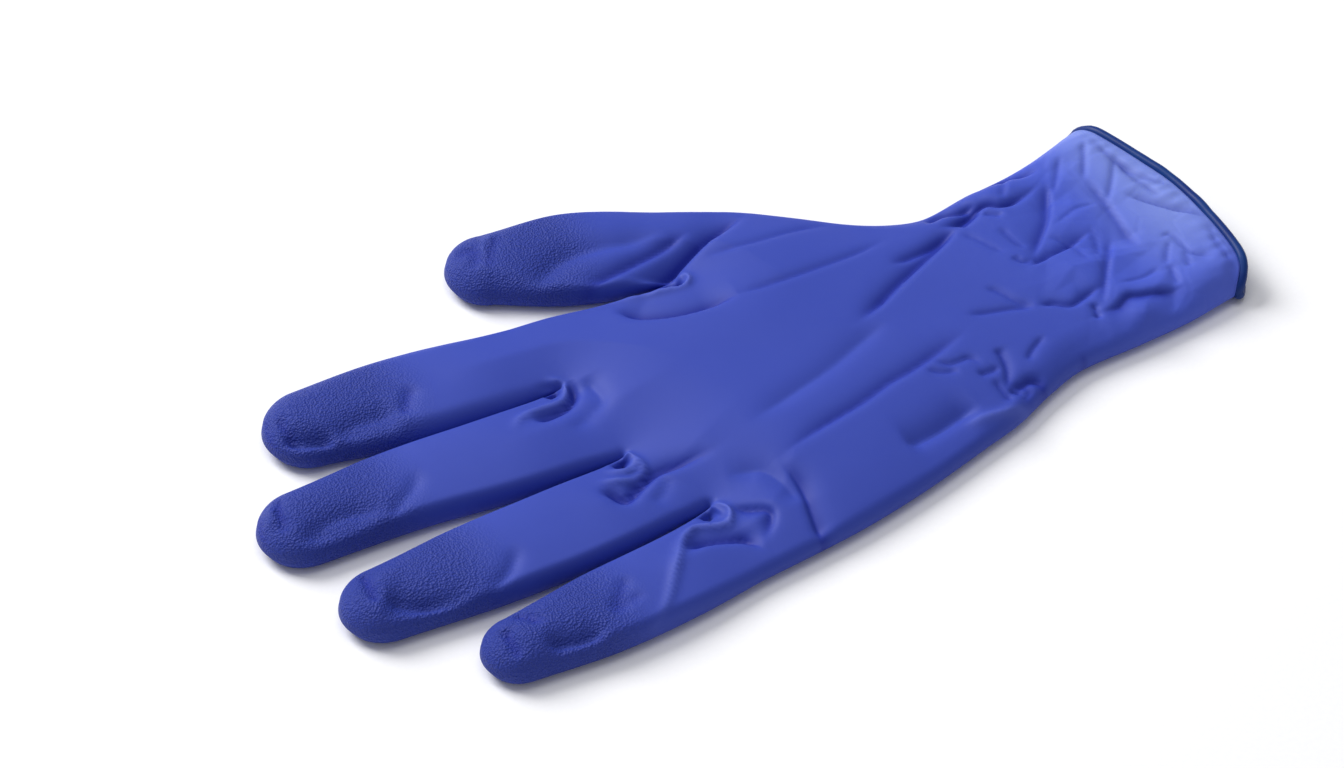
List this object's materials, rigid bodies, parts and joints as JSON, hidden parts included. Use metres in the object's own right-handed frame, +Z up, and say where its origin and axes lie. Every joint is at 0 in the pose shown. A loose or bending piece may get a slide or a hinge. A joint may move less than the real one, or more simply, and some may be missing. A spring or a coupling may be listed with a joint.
{
  "type": "nitrile exam glove",
  "caption": "Thin dip-moulded disposable glove lying flat with a little air inside: five fingers, plain palm, straight cuff open at a rolled bead.",
  "frame": {"origin": "middle of the glove's box, on the surface that it lies on", "axes": "+X along the hand from the fingertips to the cuff, +Y to the thumb side, +Z up off the surface"},
  "size_m": [0.2422, 0.1302, 0.0114],
  "materials": {
    "nitrile_film": "smooth matte nitrile film, pebbled at the fingertips, blue violet, paler where one layer of film is lit through near the cuff"
  },
  "bodies": {
    "root": {"glove": "nitrile_film"}
  },
  "joints": []
}
